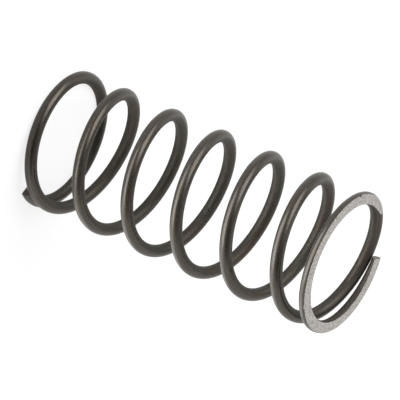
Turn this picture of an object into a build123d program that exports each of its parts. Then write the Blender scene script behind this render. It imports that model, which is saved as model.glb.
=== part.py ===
# Small compression spring, in millimetres: one length of round wire, coiled right-handed,
# with both ends closed and ground flat.
#
# +Z runs up the coil's axis and the origin is on that axis, in the plane of the lower ground
# face, so the spring stands on z = 0. The wire's lower tip is on the +X side. A place along
# the wire is given in turns of the coil, counted from the lower tip.
import os
from math import ceil, cos, pi, sin

from build123d import *

# Wire and coil
wire_diameter = 1.0
mean_diameter = 10.5  # across the coil, from wire centre to wire centre
free_length = 26.9  # between the two ground faces
total_turns = 7.358  # from tip to tip of the wire

# Closed ends: flat behind the tip, then the pitch grows evenly to that of the open coils
lower_closed_turns = 0.55
upper_closed_turns = 0.624
opening_turns = 0.45
ground_offset = 0.18  # from an end coil's centre line out to its ground face

# A tip that would run into the coil before it climbs onto that coil
tip_clearance = 0.02
tip_climb_turns = 0.2

# The upper end coil bulges outwards shortly before its tip
bulge_depth = 0.28
bulge_start_turns = 0.338  # behind the upper tip
bulge_peak_turns = 0.108

# Uneven winding, where the coil sags: in turns, the sag's middle behind the nearer tip and
# half its length, then its depth
lower_sags = [(1.18, 0.28, 0.09)]
upper_sags = [(0.15, 0.35, 0.10), (1.06, 0.25, 0.065)]

# How finely the wire's centre line is drawn
spans_per_turn = 4
span_steps = 4

mean_radius = mean_diameter / 2
rising_turns = total_turns - lower_closed_turns - upper_closed_turns - opening_turns
pitch = (free_length - 2 * ground_offset) / rising_turns


def climb(turns, closed_turns):
    # Height gained on the way in from a tip: none while the end is closed, then a parabola
    # while it opens, then the full pitch.
    opening = min(max(turns - closed_turns, 0), opening_turns)
    open_coils = max(turns - closed_turns - opening_turns, 0)
    return pitch * (opening**2 / (2 * opening_turns) + open_coils)


def sag(turns, sags):
    # A squared cosine at each place: level at both ends and deepest in the middle.
    depths = 0
    for middle, half_length, depth in sags:
        away = min(abs(turns - middle) / half_length, 1)
        depths += depth * cos(pi / 2 * away) ** 2
    return depths


def resting_height(turns):
    # Height of the wire's centre, measured in from the nearer end, before a tip is lifted.
    behind = total_turns - turns
    if turns < behind:
        return ground_offset + climb(turns, lower_closed_turns) - sag(turns, lower_sags)
    inset = ground_offset + climb(behind, upper_closed_turns) + sag(behind, upper_sags)
    return free_length - inset


def tip_lift(turns_behind, tip, next_turn):
    # Outward climb of a tip that would otherwise touch the coil one turn further in.
    gap = abs(resting_height(next_turn) - resting_height(tip))
    shortfall = max(wire_diameter + tip_clearance - gap, 0)
    return shortfall * max(1 - turns_behind / tip_climb_turns, 0) ** 2


def centre_height(turns):
    lower_lift = tip_lift(turns, 0, 1)
    upper_lift = tip_lift(total_turns - turns, total_turns, total_turns - 1)
    return resting_height(turns) - lower_lift + upper_lift


def centre_radius(turns):
    # Half a cosine wave out to the bulge's peak, and on past it towards the upper tip.
    into_bulge = max(bulge_start_turns - (total_turns - turns), 0)
    wave = pi * into_bulge / (bulge_start_turns - bulge_peak_turns)
    return mean_radius + bulge_depth * (1 - cos(wave)) / 2


def centre_point(turns):
    angle = 2 * pi * turns
    radius = centre_radius(turns)
    return Vector(radius * cos(angle), radius * sin(angle), centre_height(turns))


def centre_direction(turns):
    nudge = 0.001
    return centre_point(turns + nudge) - centre_point(turns - nudge)


def centre_span(start, end):
    # One smooth span of the centre line, which meets its neighbours in one direction.
    points = [centre_point(start + (end - start) * i / span_steps) for i in range(span_steps + 1)]
    directions = (centre_direction(start), centre_direction(end))
    return Spline(*points, tangents=directions, tangent_scalars=(1, 1), mode=Mode.PRIVATE)


span_count = ceil(total_turns * spans_per_turn)
span_turns = total_turns / span_count
centre_line = Wire([centre_span(i * span_turns, (i + 1) * span_turns) for i in range(span_count)])

# The coiled wire, with both ends ground flat
with BuildPart() as coil_spring:
    with BuildSketch(Plane(origin=centre_line @ 0, z_dir=centre_line % 0)):
        Circle(wire_diameter / 2)
    sweep(path=centre_line)
    split(bisect_by=Plane.XY, keep=Keep.TOP)
    split(bisect_by=Plane.XY.offset(free_length), keep=Keep.BOTTOM)

coil_spring.part.label = "coil_spring"

os.makedirs("parts", exist_ok=True)
export_step(coil_spring.part, "parts/coil_spring.step")

print(f"pitch {pitch:.3f} mm, wire length {centre_line.length:.1f} mm")
print(f"volume {coil_spring.part.volume:.2f} mm3")
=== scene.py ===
import math

import bpy
import numpy as np
from mathutils import Matrix, Vector


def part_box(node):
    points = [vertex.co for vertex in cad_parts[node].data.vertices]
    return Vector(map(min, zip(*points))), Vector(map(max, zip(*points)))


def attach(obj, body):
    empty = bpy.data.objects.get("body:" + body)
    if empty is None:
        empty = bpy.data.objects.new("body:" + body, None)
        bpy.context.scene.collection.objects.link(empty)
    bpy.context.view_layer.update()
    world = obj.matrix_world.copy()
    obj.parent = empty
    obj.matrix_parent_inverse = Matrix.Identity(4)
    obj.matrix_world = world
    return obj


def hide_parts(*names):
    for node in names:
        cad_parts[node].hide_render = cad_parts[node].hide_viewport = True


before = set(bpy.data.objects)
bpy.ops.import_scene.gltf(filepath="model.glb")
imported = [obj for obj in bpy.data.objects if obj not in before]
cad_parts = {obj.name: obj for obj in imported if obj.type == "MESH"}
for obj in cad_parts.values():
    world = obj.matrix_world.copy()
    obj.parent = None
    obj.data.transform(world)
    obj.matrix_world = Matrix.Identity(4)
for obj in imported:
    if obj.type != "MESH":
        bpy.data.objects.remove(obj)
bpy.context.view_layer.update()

# A small compression spring standing on a pale floor: round steel wire, wound right-handed,
# with both ends closed and ground flat. Lengths are in metres. A place along the wire is
# given in turns of the coil, counted from the wire's lower tip.
print("frame loaded:", ", ".join(sorted(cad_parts)))

mm = 0.001

wire = {
    "node": "coil_spring",
    "diameter": 1.0 * mm,
    "totalTurns": 7.358,
    "lowerClosedTurns": 0.55,
    "upperClosedTurns": 0.624,
    "openingTurns": 0.45,  # over which a closed end opens to the full pitch
    "groundOffset": 0.18 * mm,  # from an end coil's centre line out to its ground face
    "tipClearance": 0.02 * mm,
    "tipClimbTurns": 0.2,  # over which a tip climbs onto the coil next to it
    "tipRounding": 0.05 * mm,  # of the rim of a cut end
    "bulgeDepth": 0.28 * mm,
    "bulgeStartTurns": 0.338,  # behind the upper tip
    "bulgePeakTurns": 0.108,
    # Where the coil sags a little: in turns, the sag's middle behind the nearer tip and half
    # its length, then its depth
    "lowerSags": [(1.18, 0.28, 0.09 * mm)],
    "upperSags": [(0.15, 0.35, 0.10 * mm), (1.06, 0.25, 0.065 * mm)],
    # Nicks and burrs along the outer edge of the upper ground face: turns behind the upper
    # tip, half length in turns, and how far the edge stands out, or in where it is negative
    "edgeMarks": [
        (0.7205, 0.0036, -0.19 * mm),
        (0.7310, 0.0075, 0.05 * mm),
        (0.7155, 0.0020, 0.02 * mm),
        (0.4040, 0.0070, 0.05 * mm),
        (0.3890, 0.0040, -0.03 * mm),
        (0.0150, 0.0050, 0.03 * mm),
    ],
    # The fine uneven burr along that edge, made of waves: the height of each, then the radians
    # that each gains in a turn and those that it starts with
    "burrWaveHeight": 0.004 * mm,
    "burrWaves": [(331, 0), (787, 1), (1409, 2)],
    "glintAndWearReach": 0.045 * mm,  # from a ground edge, over which its wear and painted glint fade
}
low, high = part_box(wire["node"])
freeLength = high.z - low.z
wireRadius = wire["diameter"] / 2
coilRadius = high.x - wireRadius  # to the wire's centre


def climb(turns, closedTurns):
    # Height gained inwards from a tip: none while closed, a parabola while it opens, then
    # the full pitch. The pitch is what is left of the free length over the rising turns.
    ends = wire["lowerClosedTurns"] + wire["upperClosedTurns"] + wire["openingTurns"]
    pitch = (freeLength - 2 * wire["groundOffset"]) / (wire["totalTurns"] - ends)
    opening = np.clip(turns - closedTurns, 0, wire["openingTurns"])
    openCoils = np.clip(turns - closedTurns - wire["openingTurns"], 0, None)
    return pitch * (opening**2 / (2 * wire["openingTurns"]) + openCoils)


def sag(turns, sags):
    # A squared cosine at each place: level at both ends and deepest in the middle.
    depths = 0 * turns
    for middle, halfLength, depth in sags:
        away = np.clip(abs(turns - middle) / halfLength, 0, 1)
        depths = depths + depth * np.cos(math.pi / 2 * away) ** 2
    return depths


def restingHeight(turns):
    # Height of the wire's centre before a tip is lifted: each half of the wire climbs in
    # from its own ground face, and sags where it does.
    behind = wire["totalTurns"] - turns
    fromBelow = wire["groundOffset"] + climb(turns, wire["lowerClosedTurns"])
    fromAbove = wire["groundOffset"] + climb(behind, wire["upperClosedTurns"])
    lowerHalf = low.z + fromBelow - sag(turns, wire["lowerSags"])
    upperHalf = high.z - fromAbove - sag(behind, wire["upperSags"])
    return np.where(turns < behind, lowerHalf, upperHalf)


def tipLift(turnsBehind, tip, nextTurn):
    # Outward climb, by a square law, of a tip that would otherwise touch the coil one turn
    # further in.
    gap = abs(restingHeight(nextTurn) - restingHeight(tip))
    shortfall = max(wire["diameter"] + wire["tipClearance"] - gap, 0)
    return shortfall * np.clip(1 - turnsBehind / wire["tipClimbTurns"], 0, None) ** 2


def wireCentre(turns):
    # A helix about Z, whose radius swells by half a cosine wave before the upper tip.
    total = wire["totalTurns"]
    fromTop = total - turns
    wave = np.clip(wire["bulgeStartTurns"] - fromTop, 0, None)
    wave = math.pi * wave / (wire["bulgeStartTurns"] - wire["bulgePeakTurns"])
    radius = coilRadius + wire["bulgeDepth"] * (1 - np.cos(wave)) / 2
    angle = 2 * math.pi * turns
    height = restingHeight(turns) - tipLift(turns, 0, 1) + tipLift(fromTop, total, total - 1)
    return np.stack([radius * np.cos(angle), radius * np.sin(angle), height], axis=-1)


def unit(vectors):
    return vectors / np.linalg.norm(vectors, axis=-1, keepdims=True)


def wireFrame(turns):
    # At each place: the wire's centre, its direction, the side that faces away from the
    # coil's axis, and the side square to both that faces up.
    nudge = 1e-4
    along = unit(wireCentre(turns + nudge) - wireCentre(turns - nudge))
    angle = 2 * math.pi * turns
    radial = np.stack([np.cos(angle), np.sin(angle), 0 * angle], axis=-1)
    outward = unit(radial - (radial * along).sum(-1, keepdims=True) * along)
    upward = np.cross(outward, along)
    upward *= np.sign(upward[:, 2:])
    return wireCentre(turns), along, outward, upward


wireMesh = {
    "rowsPerTurn": 100,
    "endRowsPerTurn": 300,  # the ends are finer, for the ground edges
    "endReach": 1.3,  # turns from each tip at which the finer rows have thinned out
    "thinningTurns": 0.4,  # over which they do
    "densitySamples": 4000,
    "sideColumns": 17,  # round each side, with both its corners
    "faceColumns": 19,  # across each ground face, with both its corners
    "sideFirstStep": 0.035,  # beside a corner, as a share of the side
    "faceFirstStep": 0.025,
    "secondColumn": 2.4,  # where it is, in first steps
    "steepest": 86,  # degrees: past this the wire only grazes the grinding wheel
    "restCorner": 45,  # degrees: where the corners lie on round wire
    "cornerReturn": 0.3,  # wire radii over which they go back there
    "narrowestRim": 0.05,  # least share of an edge mark that a narrow face shows
    # Rings of a cut end, as shares of the way in to its middle, and where the rounding stops
    "capRings": [0.06, 0.13, 0.22, 0.45, 0.7, 0.9],
    "roundedShare": 0.13,
}


def wireRows():
    # Places along the wire, spaced evenly under a row density that rises towards each end.
    total = wire["totalTurns"]
    places = np.linspace(0, total, wireMesh["densitySamples"])
    fromEnd = np.minimum(places, total - places)
    ease = np.clip((wireMesh["endReach"] - fromEnd) / wireMesh["thinningTurns"], 0, 1)
    added = wireMesh["endRowsPerTurn"] - wireMesh["rowsPerTurn"]
    density = wireMesh["rowsPerTurn"] + added * ease * ease * (3 - 2 * ease)
    rowsBetween = (density[1:] + density[:-1]) / 2 * np.diff(places)
    count = np.concatenate([[0], np.cumsum(rowsBetween)])
    setback = wire["tipRounding"] / (2 * math.pi * coilRadius)
    rows = np.interp(np.linspace(0, count[-1], int(count[-1])), count, places)
    return np.clip(rows, setback, total - setback)


def cornerAngle(reach):
    # Where a ground plane cuts the round wire, as an angle above the wire's side, and whether
    # it cuts it there. reach is the plane's height over the wire's centre, in wire radii. On
    # round wire the angle eases back to a resting value, so that the columns stay even.
    steepest = math.radians(wireMesh["steepest"])
    rest = math.radians(wireMesh["restCorner"])
    cut = reach < math.sin(steepest)
    past = np.clip(reach - 1, 0, None) / wireMesh["cornerReturn"]
    eased = rest + (steepest - rest) * np.exp(-past)
    return np.where(cut, np.arcsin(np.clip(reach, -1, 1)), eased), cut


def spacing(columns, first):
    # That many shares from 0 to 1: two finer steps at each end, and even ones between.
    second = first * wireMesh["secondColumn"]
    middle = np.linspace(second, 1 - second, columns - 4)
    return np.concatenate([[0, first], middle, [1 - first, 1]])


def faceAcross(corner, cut, sign):
    # One ground face from its outer to its inner edge, in wire radii: a straight chord where
    # the plane cuts the wire, and the wire's own arc where it doesn't.
    share = spacing(wireMesh["faceColumns"], wireMesh["faceFirstStep"])[None, :]
    angle = corner[:, None] + share * (math.pi - 2 * corner[:, None])
    x = np.where(cut[:, None], np.cos(corner)[:, None] * (1 - 2 * share), np.cos(angle))
    y = np.where(cut[:, None], np.sin(corner)[:, None] + 0 * share, np.sin(angle))
    return x, sign * y


def sideRound(start, end):
    # One side of the round wire between two corner angles, in wire radii, without its ends.
    share = spacing(wireMesh["sideColumns"], wireMesh["sideFirstStep"])[None, 1:-1]
    angle = start[:, None] + share * (end - start)[:, None]
    return np.cos(angle), np.sin(angle)


def edgeShift(turns):
    # How far the outer edge of the upper ground face stands out: a fine burr, the sum of a
    # few sine waves, plus a smooth bump or dent for each mark, flat-topped by a fourth power.
    fromTop = wire["totalTurns"] - turns
    burr = sum(np.sin(fromTop * gained + start) for gained, start in wire["burrWaves"])
    shift = wire["burrWaveHeight"] * burr
    for place, halfLength, depth in wire["edgeMarks"]:
        shift = shift + depth * np.exp(-(((fromTop - place) / halfLength) ** 4))
    return shift


def wireSkin():
    # The wire's outside as a grid: rows along it, columns round it. A section is a circle
    # with a flat where a ground plane cuts it, and each corner moves halfway to the middle
    # of its two neighbours.
    turns = wireRows()
    centre, along, outward, upward = wireFrame(turns)
    upper, upperCut = cornerAngle((high.z - centre[:, 2]) / wireRadius)
    lower, lowerCut = cornerAngle((centre[:, 2] - low.z) / wireRadius)
    stretches = [
        faceAcross(upper, upperCut, 1),
        sideRound(math.pi - upper, math.pi + lower),
        tuple(part[:, ::-1] for part in faceAcross(lower, lowerCut, -1)),
        sideRound(-lower, upper),
    ]
    x = np.concatenate([stretch[0] for stretch in stretches], axis=1)
    y = np.concatenate([stretch[1] for stretch in stretches], axis=1)
    faceEnd = wireMesh["faceColumns"] - 1
    lowerStart = faceEnd + wireMesh["sideColumns"] - 1
    corners = [0, faceEnd, lowerStart, lowerStart + faceEnd]
    for flat in (x, y):
        eased = (np.roll(flat, 1, axis=1) + np.roll(flat, -1, axis=1)) / 4 + flat / 2
        flat[:, corners] = eased[:, corners]
    shift = np.where(upperCut, edgeShift(turns), 0) / wireRadius
    faceWidth = np.clip(np.cos(upper), wireMesh["narrowestRim"], 1)
    x[:, [0, 1, -1]] += (shift * faceWidth)[:, None]
    points = (
        centre[:, None]
        + wireRadius * x[..., None] * outward[:, None]
        + wireRadius * y[..., None] * upward[:, None]
    )
    steps = np.linalg.norm(np.diff(centre, axis=0), axis=1)
    length = np.concatenate([[0], np.cumsum(steps)])
    straight = np.stack([x * wireRadius, y * wireRadius, length[:, None] + 0 * x], axis=-1)
    ground = np.zeros(x.shape, bool)
    ground[:, :faceEnd] = upperCut[:, None]
    ground[:, lowerStart : lowerStart + faceEnd] = lowerCut[:, None]
    fromCorner = np.full(x.shape, np.inf)
    for column in corners:
        cutHere = upperCut if column <= faceEnd else lowerCut
        gap = np.hypot(x - x[:, [column]], y - y[:, [column]]) * wireRadius
        fromCorner = np.where(cutHere[:, None], np.minimum(fromCorner, gap), fromCorner)
    return points, straight, ground, fromCorner, along


def tipCap(ring, straight, direction):
    # A cut end: rings that shrink towards the section's middle while they step out along the
    # wire by a quarter circle, which rounds the rim, and then stay flat up to the middle.
    shares = np.array(wireMesh["capRings"])[:, None, None]
    inwards = np.clip(shares / wireMesh["roundedShare"], 0, 1)
    rise = np.sqrt(1 - (1 - inwards) ** 2) * wire["tipRounding"]
    middle = ring.mean(axis=0)
    rings = ring + (middle - ring) * shares + rise * direction
    straightMiddle = straight.mean(axis=0)
    flat = straight + (straightMiddle - straight) * shares
    return rings, flat, middle + rise[-1, 0] * direction, straightMiddle


def gridQuads(rowCount, columnCount):
    # Faces of a grid that closes on itself across its columns.
    row = np.arange(rowCount - 1)[:, None] * columnCount
    column = np.arange(columnCount)[None, :]
    after = (column + 1) % columnCount
    nextRow = row + columnCount
    corners = [nextRow + column, nextRow + after, row + after, row + column]
    return np.stack(corners, axis=-1).reshape(-1, 4)


def fan(middle, ring, neighbours):
    # Triangles from one vertex to each vertex of a ring and its neighbour.
    return np.stack([0 * ring + middle, ring, neighbours], axis=-1)


def makeWire():
    points, straight, ground, fromCorner, along = wireSkin()
    startRings, startFlat, startMiddle, startPlace = tipCap(points[0], straight[0], -along[0])
    endRings, endFlat, endMiddle, endPlace = tipCap(points[-1], straight[-1], along[-1])
    skin = np.concatenate([startRings[::-1], points, endRings])
    flat = np.concatenate([startFlat[::-1], straight, endFlat])
    vertices = np.concatenate([skin.reshape(-1, 3), [startMiddle, endMiddle]])
    straightened = np.concatenate([flat.reshape(-1, 3), [startPlace, endPlace]]) / mm

    rowCount, columnCount = skin.shape[:2]
    column = np.arange(columnCount)
    after = (column + 1) % columnCount
    lastRow = (rowCount - 1) * columnCount
    startFan = fan(len(vertices) - 2, column, after)
    endFan = fan(len(vertices) - 1, lastRow + after, lastRow + column)
    faces = gridQuads(rowCount, columnCount).tolist() + startFan.tolist() + endFan.tolist()

    drawnSlot, groundSlot, cutSlot = range(3)  # in the order that the finishes are added
    wallRows = slice(len(startRings), -len(endRings))  # all but the two cut ends
    onFace = ground[:-1] & ground[1:]
    finish = np.full((rowCount - 1, columnCount), cutSlot)
    finish[wallRows] = np.where(onFace, groundSlot, drawnSlot)
    finish = np.concatenate([finish.ravel(), np.full(2 * columnCount, cutSlot)])

    # Wear and a painted glint fall off from a ground edge as a bell curve, and the middles of
    # the ends have none.
    glintAndWearFade = np.zeros((rowCount, columnCount))
    glintAndWearFade[wallRows] = np.exp(-((fromCorner / wire["glintAndWearReach"]) ** 2))
    glintAndWearFade = np.concatenate([glintAndWearFade.ravel(), [0, 0]])

    mesh = bpy.data.meshes.new("coiledWire")
    mesh.from_pydata(vertices.tolist(), [], faces)
    mesh.polygons.foreach_set("material_index", finish.astype(np.int32))
    mesh.polygons.foreach_set("use_smooth", np.ones(len(finish), bool))
    place = mesh.attributes.new("straightWire", "FLOAT_VECTOR", "POINT")
    place.data.foreach_set("vector", straightened.ravel().astype(np.float32))
    edge = mesh.attributes.new("edgeGlintAndWear", "FLOAT", "POINT")
    edge.data.foreach_set("value", glintAndWearFade.astype(np.float32))
    mesh.update()
    piece = bpy.data.objects.new("coiledWire", mesh)
    bpy.context.scene.collection.objects.link(piece)
    return piece


class Socket:
    # A node's output. Sums, differences and products of sockets and numbers add Math nodes.
    def __init__(self, finish, output):
        self.finish = finish
        self.output = output

    def maths(self, operation, *values):
        return self.finish.node("ShaderNodeMath", {"operation": operation}, *values)

    def __add__(self, other):
        return self.maths("ADD", self, other)

    def __sub__(self, other):
        return self.maths("SUBTRACT", self, other)

    def __rsub__(self, other):
        return self.maths("SUBTRACT", other, self)

    def __mul__(self, other):
        return self.maths("MULTIPLY", self, other)

    __radd__ = __add__
    __rmul__ = __mul__


class Finish:
    # A node tree, with one way to add a node: type, settings, then values for its sockets.
    def __init__(self, tree):
        tree.nodes.clear()
        self.tree = tree

    def node(self, kind, settings, *values, output=0, **named):
        made = self.tree.nodes.new(kind)
        for name, setting in settings.items():
            setattr(made, name, setting)
        for place, value in enumerate(values):
            self.feed(made.inputs[place], value)
        for name, value in named.items():
            self.feed(made.inputs[name.replace("_", " ")], value)
        return Socket(self, made.outputs[output]) if len(made.outputs) else made

    def feed(self, socket, value):
        if isinstance(value, Socket):
            self.tree.links.new(value.output, socket)
        else:
            socket.default_value = value

    def mix(self, share, first, second):
        # Two colours. A Mix node has sockets for every type, and only those in use are enabled.
        mixed = self.tree.nodes.new("ShaderNodeMix")
        mixed.data_type = "RGBA"
        enabled = [socket for socket in mixed.inputs if socket.enabled]
        for socket, value in zip(enabled, (share, first, second)):
            self.feed(socket, (*value, 1) if isinstance(value, tuple) else value)
        return Socket(self, next(socket for socket in mixed.outputs if socket.enabled))

    def noise(self, vector, scale, detail, roughness=0.5):
        # The scale is one number, or one for each axis of the vector.
        if isinstance(scale, tuple):
            stretch = {"operation": "MULTIPLY"}
            vector = self.node("ShaderNodeVectorMath", stretch, vector, scale)
            scale = 1.0
        values = {"Vector": vector, "Scale": scale, "Detail": detail, "Roughness": roughness}
        return self.node("ShaderNodeTexNoise", {}, **values)

    def between(self, value, start, end):
        # 0 up to the start, 1 from the end, and a smooth rise from one to the other.
        smooth = {"interpolation_type": "SMOOTHSTEP"}
        return self.node("ShaderNodeMapRange", smooth, value, start, end)

    def principled(self, **named):
        shader = self.node("ShaderNodeBsdfPrincipled", {}, **named)
        self.node("ShaderNodeOutputMaterial", {}, shader)


def newFinish(name):
    material = bpy.data.materials.new(name)
    material.use_nodes = True
    return material, Finish(material.node_tree)


drawnWire = {
    "insideFilm": (0.047, 0.0425, 0.033),
    "rustyFilm": (0.055, 0.041, 0.032),
    "outsideFilm": (0.047, 0.0375, 0.0275),
    "greyFilm": (0.050, 0.047, 0.042),
    "greyShare": 0.85,
    "wornAndGlint": (0.105, 0.095, 0.083),
    "wornLines": 0.5,  # shares of the worn colour in the die lines and specks, and along the ground edges, where it is wear and a painted glint
    "wornSpecks": 0.7,
    "glintAndWearEdges": 0.2,
    "metallic": 0.66,
    "edgeTint": (0.65, 0.65, 0.65, 1),  # dulls the film where it is seen at a glancing angle
    "oil": 0.25,
    "oilRoughness": 0.27,
    "outsideRoughness": 0.30,
    "insideRoughness": 0.5,
    # Noise scales a millimetre: twice across the wire, then along it
    "dieLines": (8, 8, 0.3),
    "fineLines": (22, 22, 1.2),
    "drift": (1.2, 1.2, 0.12),
    "smoke": (2.2, 2.2, 0.5),
    "specks": (5, 5, 3),
    "mottle": 5.0,
    "reliefStrength": 0.25,
    "reliefDepth": 0.004 * mm,
}


def drawnWireFinish():
    # Oil-tempered steel: a dark film, brown and smooth on the coil's outside, olive and dull
    # on its inside, that drifts to grey along the wire. Fine lengthwise die lines and a few
    # worn specks show through it, and it is lighter along the ground edges: wear and a
    # painted glint.
    material, f = newFinish("drawnWire")
    place = f.node("ShaderNodeAttribute", {"attribute_name": "straightWire"}, output="Vector")
    edge = f.node("ShaderNodeAttribute", {"attribute_name": "edgeGlintAndWear"}, output="Fac")
    across = f.node("ShaderNodeSeparateXYZ", {}, place, output="X")
    height = f.node("ShaderNodeSeparateXYZ", {}, place, output="Y")
    dieLines = f.noise(place, drawnWire["dieLines"], 4, 0.65)
    fineLines = f.noise(place, drawnWire["fineLines"], 3, 0.6)
    drift = f.noise(place, drawnWire["drift"], 2)
    smoke = f.noise(place, drawnWire["smoke"], 4, 0.6)
    mottle = f.noise(place, drawnWire["mottle"], 4, 0.7)
    specks = f.between(f.noise(place, drawnWire["specks"], 2), 0.76, 0.80)

    outside = f.between(across + (mottle - 0.5) * 0.3, -0.15, 0.2)
    rust = f.between(drift, 0.45, 0.6)
    inner = f.mix(rust, drawnWire["insideFilm"], drawnWire["rustyFilm"])
    film = f.mix(outside, inner, drawnWire["outsideFilm"])
    grey = f.between(smoke - height * 0.25, 0.42, 0.66) * drawnWire["greyShare"]
    film = f.mix(grey, film, drawnWire["greyFilm"])
    lines = f.between(dieLines + (mottle - 0.5) * 0.5, 0.38, 0.80)
    film = f.mix(lines * drawnWire["wornLines"], film, drawnWire["wornAndGlint"])
    # The film is lighter in the worn specks and along the ground edges, where that is wear and a
    # painted glint.
    wornAndGlint = edge * drawnWire["glintAndWearEdges"] + specks * drawnWire["wornSpecks"]
    film = f.mix(wornAndGlint, film, drawnWire["wornAndGlint"])

    smoother = drawnWire["outsideRoughness"] - drawnWire["insideRoughness"]
    roughness = drawnWire["insideRoughness"] + outside * smoother
    roughness = roughness + (fineLines - 0.5) * 0.2 + (mottle - 0.5) * 0.16
    bump = f.node(
        "ShaderNodeBump",
        {},
        Strength=drawnWire["reliefStrength"],
        Distance=drawnWire["reliefDepth"],
        Height=dieLines * 0.7 + fineLines * 0.3,
    )
    f.principled(
        Base_Color=film,
        Metallic=drawnWire["metallic"],
        Roughness=roughness,
        Specular_Tint=drawnWire["edgeTint"],
        Coat_Weight=outside * drawnWire["oil"],
        Coat_Roughness=drawnWire["oilRoughness"],
        Normal=bump,
    )
    return material


groundFace = {
    "bright": (0.553, 0.528, 0.505),
    "dull": (0.26, 0.245, 0.232),
    "stain": (0.33, 0.29, 0.262),
    "stainShare": 0.45,
    # how far the edges lighten: wear and a painted glint
    "glintAndWearOnEdges": 0.3,
    "metallic": 0.85,
    "roughness": 0.68,
    # Noise scales a metre, and the scratches have one for each axis
    "grain": 6500.0,
    "grit": 16000.0,
    "scratches": (2500, 14000, 1),
    "stains": 1800.0,
    "reliefStrength": 0.5,
    "reliefDepth": 0.01 * mm,
}


def groundFaceFinish():
    # Ground steel: a coarse bright and dull grain, fine grit scratches and faint stains, and
    # lighter along its edges, where that is wear and a painted glint.
    material, f = newFinish("groundFace")
    place = f.node("ShaderNodeTexCoord", {}, output="Object")
    edge = f.node("ShaderNodeAttribute", {"attribute_name": "edgeGlintAndWear"}, output="Fac")
    grain = f.noise(place, groundFace["grain"], 3, 0.6)
    grit = f.noise(place, groundFace["grit"], 2)
    scratches = f.noise(place, groundFace["scratches"], 3, 0.6)
    stains = f.between(f.noise(place, groundFace["stains"], 3, 0.55), 0.52, 0.72)
    tone = f.mix(f.between(grain, 0.34, 0.66), groundFace["dull"], groundFace["bright"])
    tone = f.mix(stains * groundFace["stainShare"], tone, groundFace["stain"])
    # Lighter along the edges: wear and a painted glint.
    tone = f.mix(edge * groundFace["glintAndWearOnEdges"], tone, groundFace["bright"])
    bump = f.node(
        "ShaderNodeBump",
        {},
        Strength=groundFace["reliefStrength"],
        Distance=groundFace["reliefDepth"],
        Height=grain * 0.5 + scratches * 0.3 + grit * 0.2,
    )
    f.principled(
        Base_Color=tone,
        Metallic=groundFace["metallic"],
        Roughness=groundFace["roughness"] + (grit - 0.5) * 0.2,
        Normal=bump,
    )
    return material


cutEnd = {
    # painted shade and dark reflection of the cut face
    "paintedShadeAndReflection": (0.075, 0.058, 0.047),
    "torn": (0.22, 0.18, 0.155),
    "metallic": 0.7,
    "roughness": 0.5,
    "patches": 2600.0,  # noise scales a metre
    "grain": 12000.0,
    "reliefStrength": 0.6,
    "reliefDepth": 0.02 * mm,
}


def cutEndFinish():
    # A sheared wire end: dark brown, which is painted shade and dark reflection, with lighter
    # torn patches.
    material, f = newFinish("cutEnd")
    place = f.node("ShaderNodeTexCoord", {}, output="Object")
    patches = f.noise(place, cutEnd["patches"], 3, 0.6)
    grain = f.noise(place, cutEnd["grain"], 3, 0.6)
    bump = f.node(
        "ShaderNodeBump",
        {},
        Strength=cutEnd["reliefStrength"],
        Distance=cutEnd["reliefDepth"],
        Height=patches + grain * 0.4,
    )
    f.principled(
        Base_Color=f.mix(f.between(patches, 0.48, 0.62), cutEnd["paintedShadeAndReflection"], cutEnd["torn"]),
        Metallic=cutEnd["metallic"],
        Roughness=cutEnd["roughness"] + (grain - 0.5) * 0.3,
        Normal=bump,
    )
    return material


coiledWire = makeWire()
print("wire wound:", len(coiledWire.data.polygons), "faces")
for makeFinish in (drawnWireFinish, groundFaceFinish, cutEndFinish):
    coiledWire.data.materials.append(makeFinish())
print("wire finished:", ", ".join(finish.name for finish in coiledWire.data.materials))
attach(coiledWire, "root")
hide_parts(wire["node"])

studio = {
    "floorSize": 6.0,
    "floorColour": (0.20, 0.20, 0.20),
    "floorRoughness": 0.9,
    "floorGlow": 0.78,  # added where the camera or a reflection sees the floor
    "worldLevel": 0.78,
    # Bright panels and dark flags in the world: azimuth and elevation, the angles from there
    # at which one begins and is full, all in degrees, and its level
    "panels": [
        ((20, 10), 75, 15, 1.6),
        ((100, 42), 75, 25, 1.15),
        ((320, 42), 52, 12, 0.05),
        ((242, 0), 42, 8, 0.2),
    ],
}


def seenRays(f):
    # 1 for rays from the camera and for reflected and transmitted ones, else 0.
    camera = f.node("ShaderNodeLightPath", {}, output="Is Camera Ray")
    glossy = f.node("ShaderNodeLightPath", {}, output="Is Glossy Ray")
    through = f.node("ShaderNodeLightPath", {}, output="Is Transmission Ray")
    clamped = {"operation": "ADD", "use_clamp": True}
    return f.node("ShaderNodeMath", clamped, camera + glossy, through)


def makeFloor():
    half = studio["floorSize"] / 2
    mesh = bpy.data.meshes.new("studioFloor")
    sides = ((-half, -half), (half, -half), (half, half), (-half, half))
    mesh.from_pydata([(x, y, low.z) for x, y in sides], [], [(0, 1, 2, 3)])
    floor = bpy.data.objects.new("studioFloor", mesh)
    bpy.context.scene.collection.objects.link(floor)
    material, f = newFinish("studioFloor")
    matte = f.node(
        "ShaderNodeBsdfPrincipled",
        {},
        Base_Color=(*studio["floorColour"], 1),
        Roughness=studio["floorRoughness"],
    )
    strength = seenRays(f) * studio["floorGlow"]
    glow = f.node("ShaderNodeEmission", {}, Color=(1, 1, 1, 1), Strength=strength)
    f.node("ShaderNodeOutputMaterial", {}, f.node("ShaderNodeAddShader", {}, matte, glow))
    mesh.materials.append(material)


def towards(direction):
    # The unit vector at an azimuth and elevation in degrees.
    azimuth, elevation = (math.radians(angle) for angle in direction)
    level = math.cos(elevation)
    return Vector((level * math.cos(azimuth), level * math.sin(azimuth), math.sin(elevation)))


def lookBack(direction):
    # The rotation of a lamp or camera that looks back from that azimuth and elevation.
    return towards(direction).to_track_quat("Z", "Y")


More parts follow.
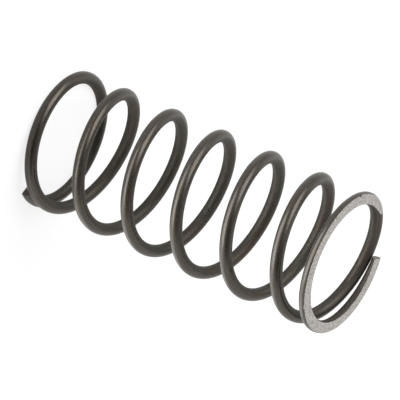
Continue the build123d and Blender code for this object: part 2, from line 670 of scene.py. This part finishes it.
def makeWorld():
    # A white tent with panels and flags: each eases in with the cosine of the angle to its
    # middle.
    world = bpy.data.worlds.new("studioWorld")
    bpy.context.scene.world = world
    world.use_nodes = True
    f = Finish(world.node_tree)
    direction = f.node("ShaderNodeTexCoord", {}, output="Generated")
    level = studio["worldLevel"]
    for middle, begins, full, panelLevel in studio["panels"]:
        nearness = f.node(
            "ShaderNodeVectorMath",
            {"operation": "DOT_PRODUCT"},
            direction,
            tuple(towards(middle)),
            output="Value",
        )
        edges = (math.cos(math.radians(begins)), math.cos(math.radians(full)))
        level = level + (panelLevel - level) * f.between(nearness, *edges)
    background = f.node("ShaderNodeBackground", {}, Color=(1, 1, 1, 1), Strength=level)
    f.node("ShaderNodeOutputWorld", {}, background)


# A square lamp above: azimuth and elevation in degrees from the part's middle, distance,
# width and watts
keySoftbox = {"direction": (225, 42), "distance": 0.6, "size": 0.48, "power": 3.2}
# Round lamps just off the floor, facing up: azimuth, how far the middle is from the coil's
# axis, diameter and watts
floorPanels = {
    "frontPanel": {"azimuth": 303, "away": 0.059, "size": 0.082, "power": 0.078},
    "rearPanel": {"azimuth": 8, "away": 0.052, "size": 0.084, "power": 0.030},
}
panelLift = 0.5 * mm  # of the round lamps off the floor
partMiddle = Vector(((low.x + high.x) / 2, (low.y + high.y) / 2, (low.z + high.z) / 2))


def makeLamps():
    direction = keySoftbox["direction"]
    place = partMiddle + towards(direction) * keySoftbox["distance"]
    placeLamp("keySoftbox", "SQUARE", keySoftbox, place, lookBack(direction))
    for name, panel in floorPanels.items():
        place = towards((panel["azimuth"], 0)) * panel["away"]
        place.z = low.z + panelLift
        placeLamp(name, "DISK", panel, place, lookBack((0, -90)))


def placeLamp(name, shape, lamp, place, turn):
    light = bpy.data.lights.new(name, "AREA")
    light.shape = shape
    light.size = lamp["size"]
    light.energy = lamp["power"]
    made = bpy.data.objects.new(name, light)
    made.location = place
    made.rotation_mode = "QUATERNION"
    made.rotation_quaternion = turn
    made.visible_camera = False
    bpy.context.scene.collection.objects.link(made)


view = {
    "direction": (-65.52, 26.22),  # azimuth and elevation in degrees
    "distance": 0.3303,
    "roll": 113.66,  # degrees: the coil's axis runs down to the right in the frame
    "lens": 382.2,
    "sensorWidth": 36,
    "nearest": 0.01,
    "farthest": 20,
    "aimShift": (0, -0.06 * mm, -0.1 * mm),  # from the middle of the part's box
}


def makeCamera():
    place = partMiddle + Vector(view["aimShift"]) + towards(view["direction"]) * view["distance"]
    camera = bpy.data.objects.new("camera", bpy.data.cameras.new("camera"))
    camera.data.lens = view["lens"]
    camera.data.sensor_width = view["sensorWidth"]
    camera.data.clip_start = view["nearest"]
    camera.data.clip_end = view["farthest"]
    upright = lookBack(view["direction"]).to_matrix().to_4x4()
    rolled = upright @ Matrix.Rotation(math.radians(view["roll"]), 4, "Z")
    camera.matrix_world = Matrix.Translation(place) @ rolled
    bpy.context.scene.collection.objects.link(camera)
    bpy.context.scene.camera = camera


makeFloor()
makeWorld()
makeLamps()
makeCamera()
bpy.context.scene.view_settings.view_transform = "Standard"
print("floor, world, lamps and camera placed")
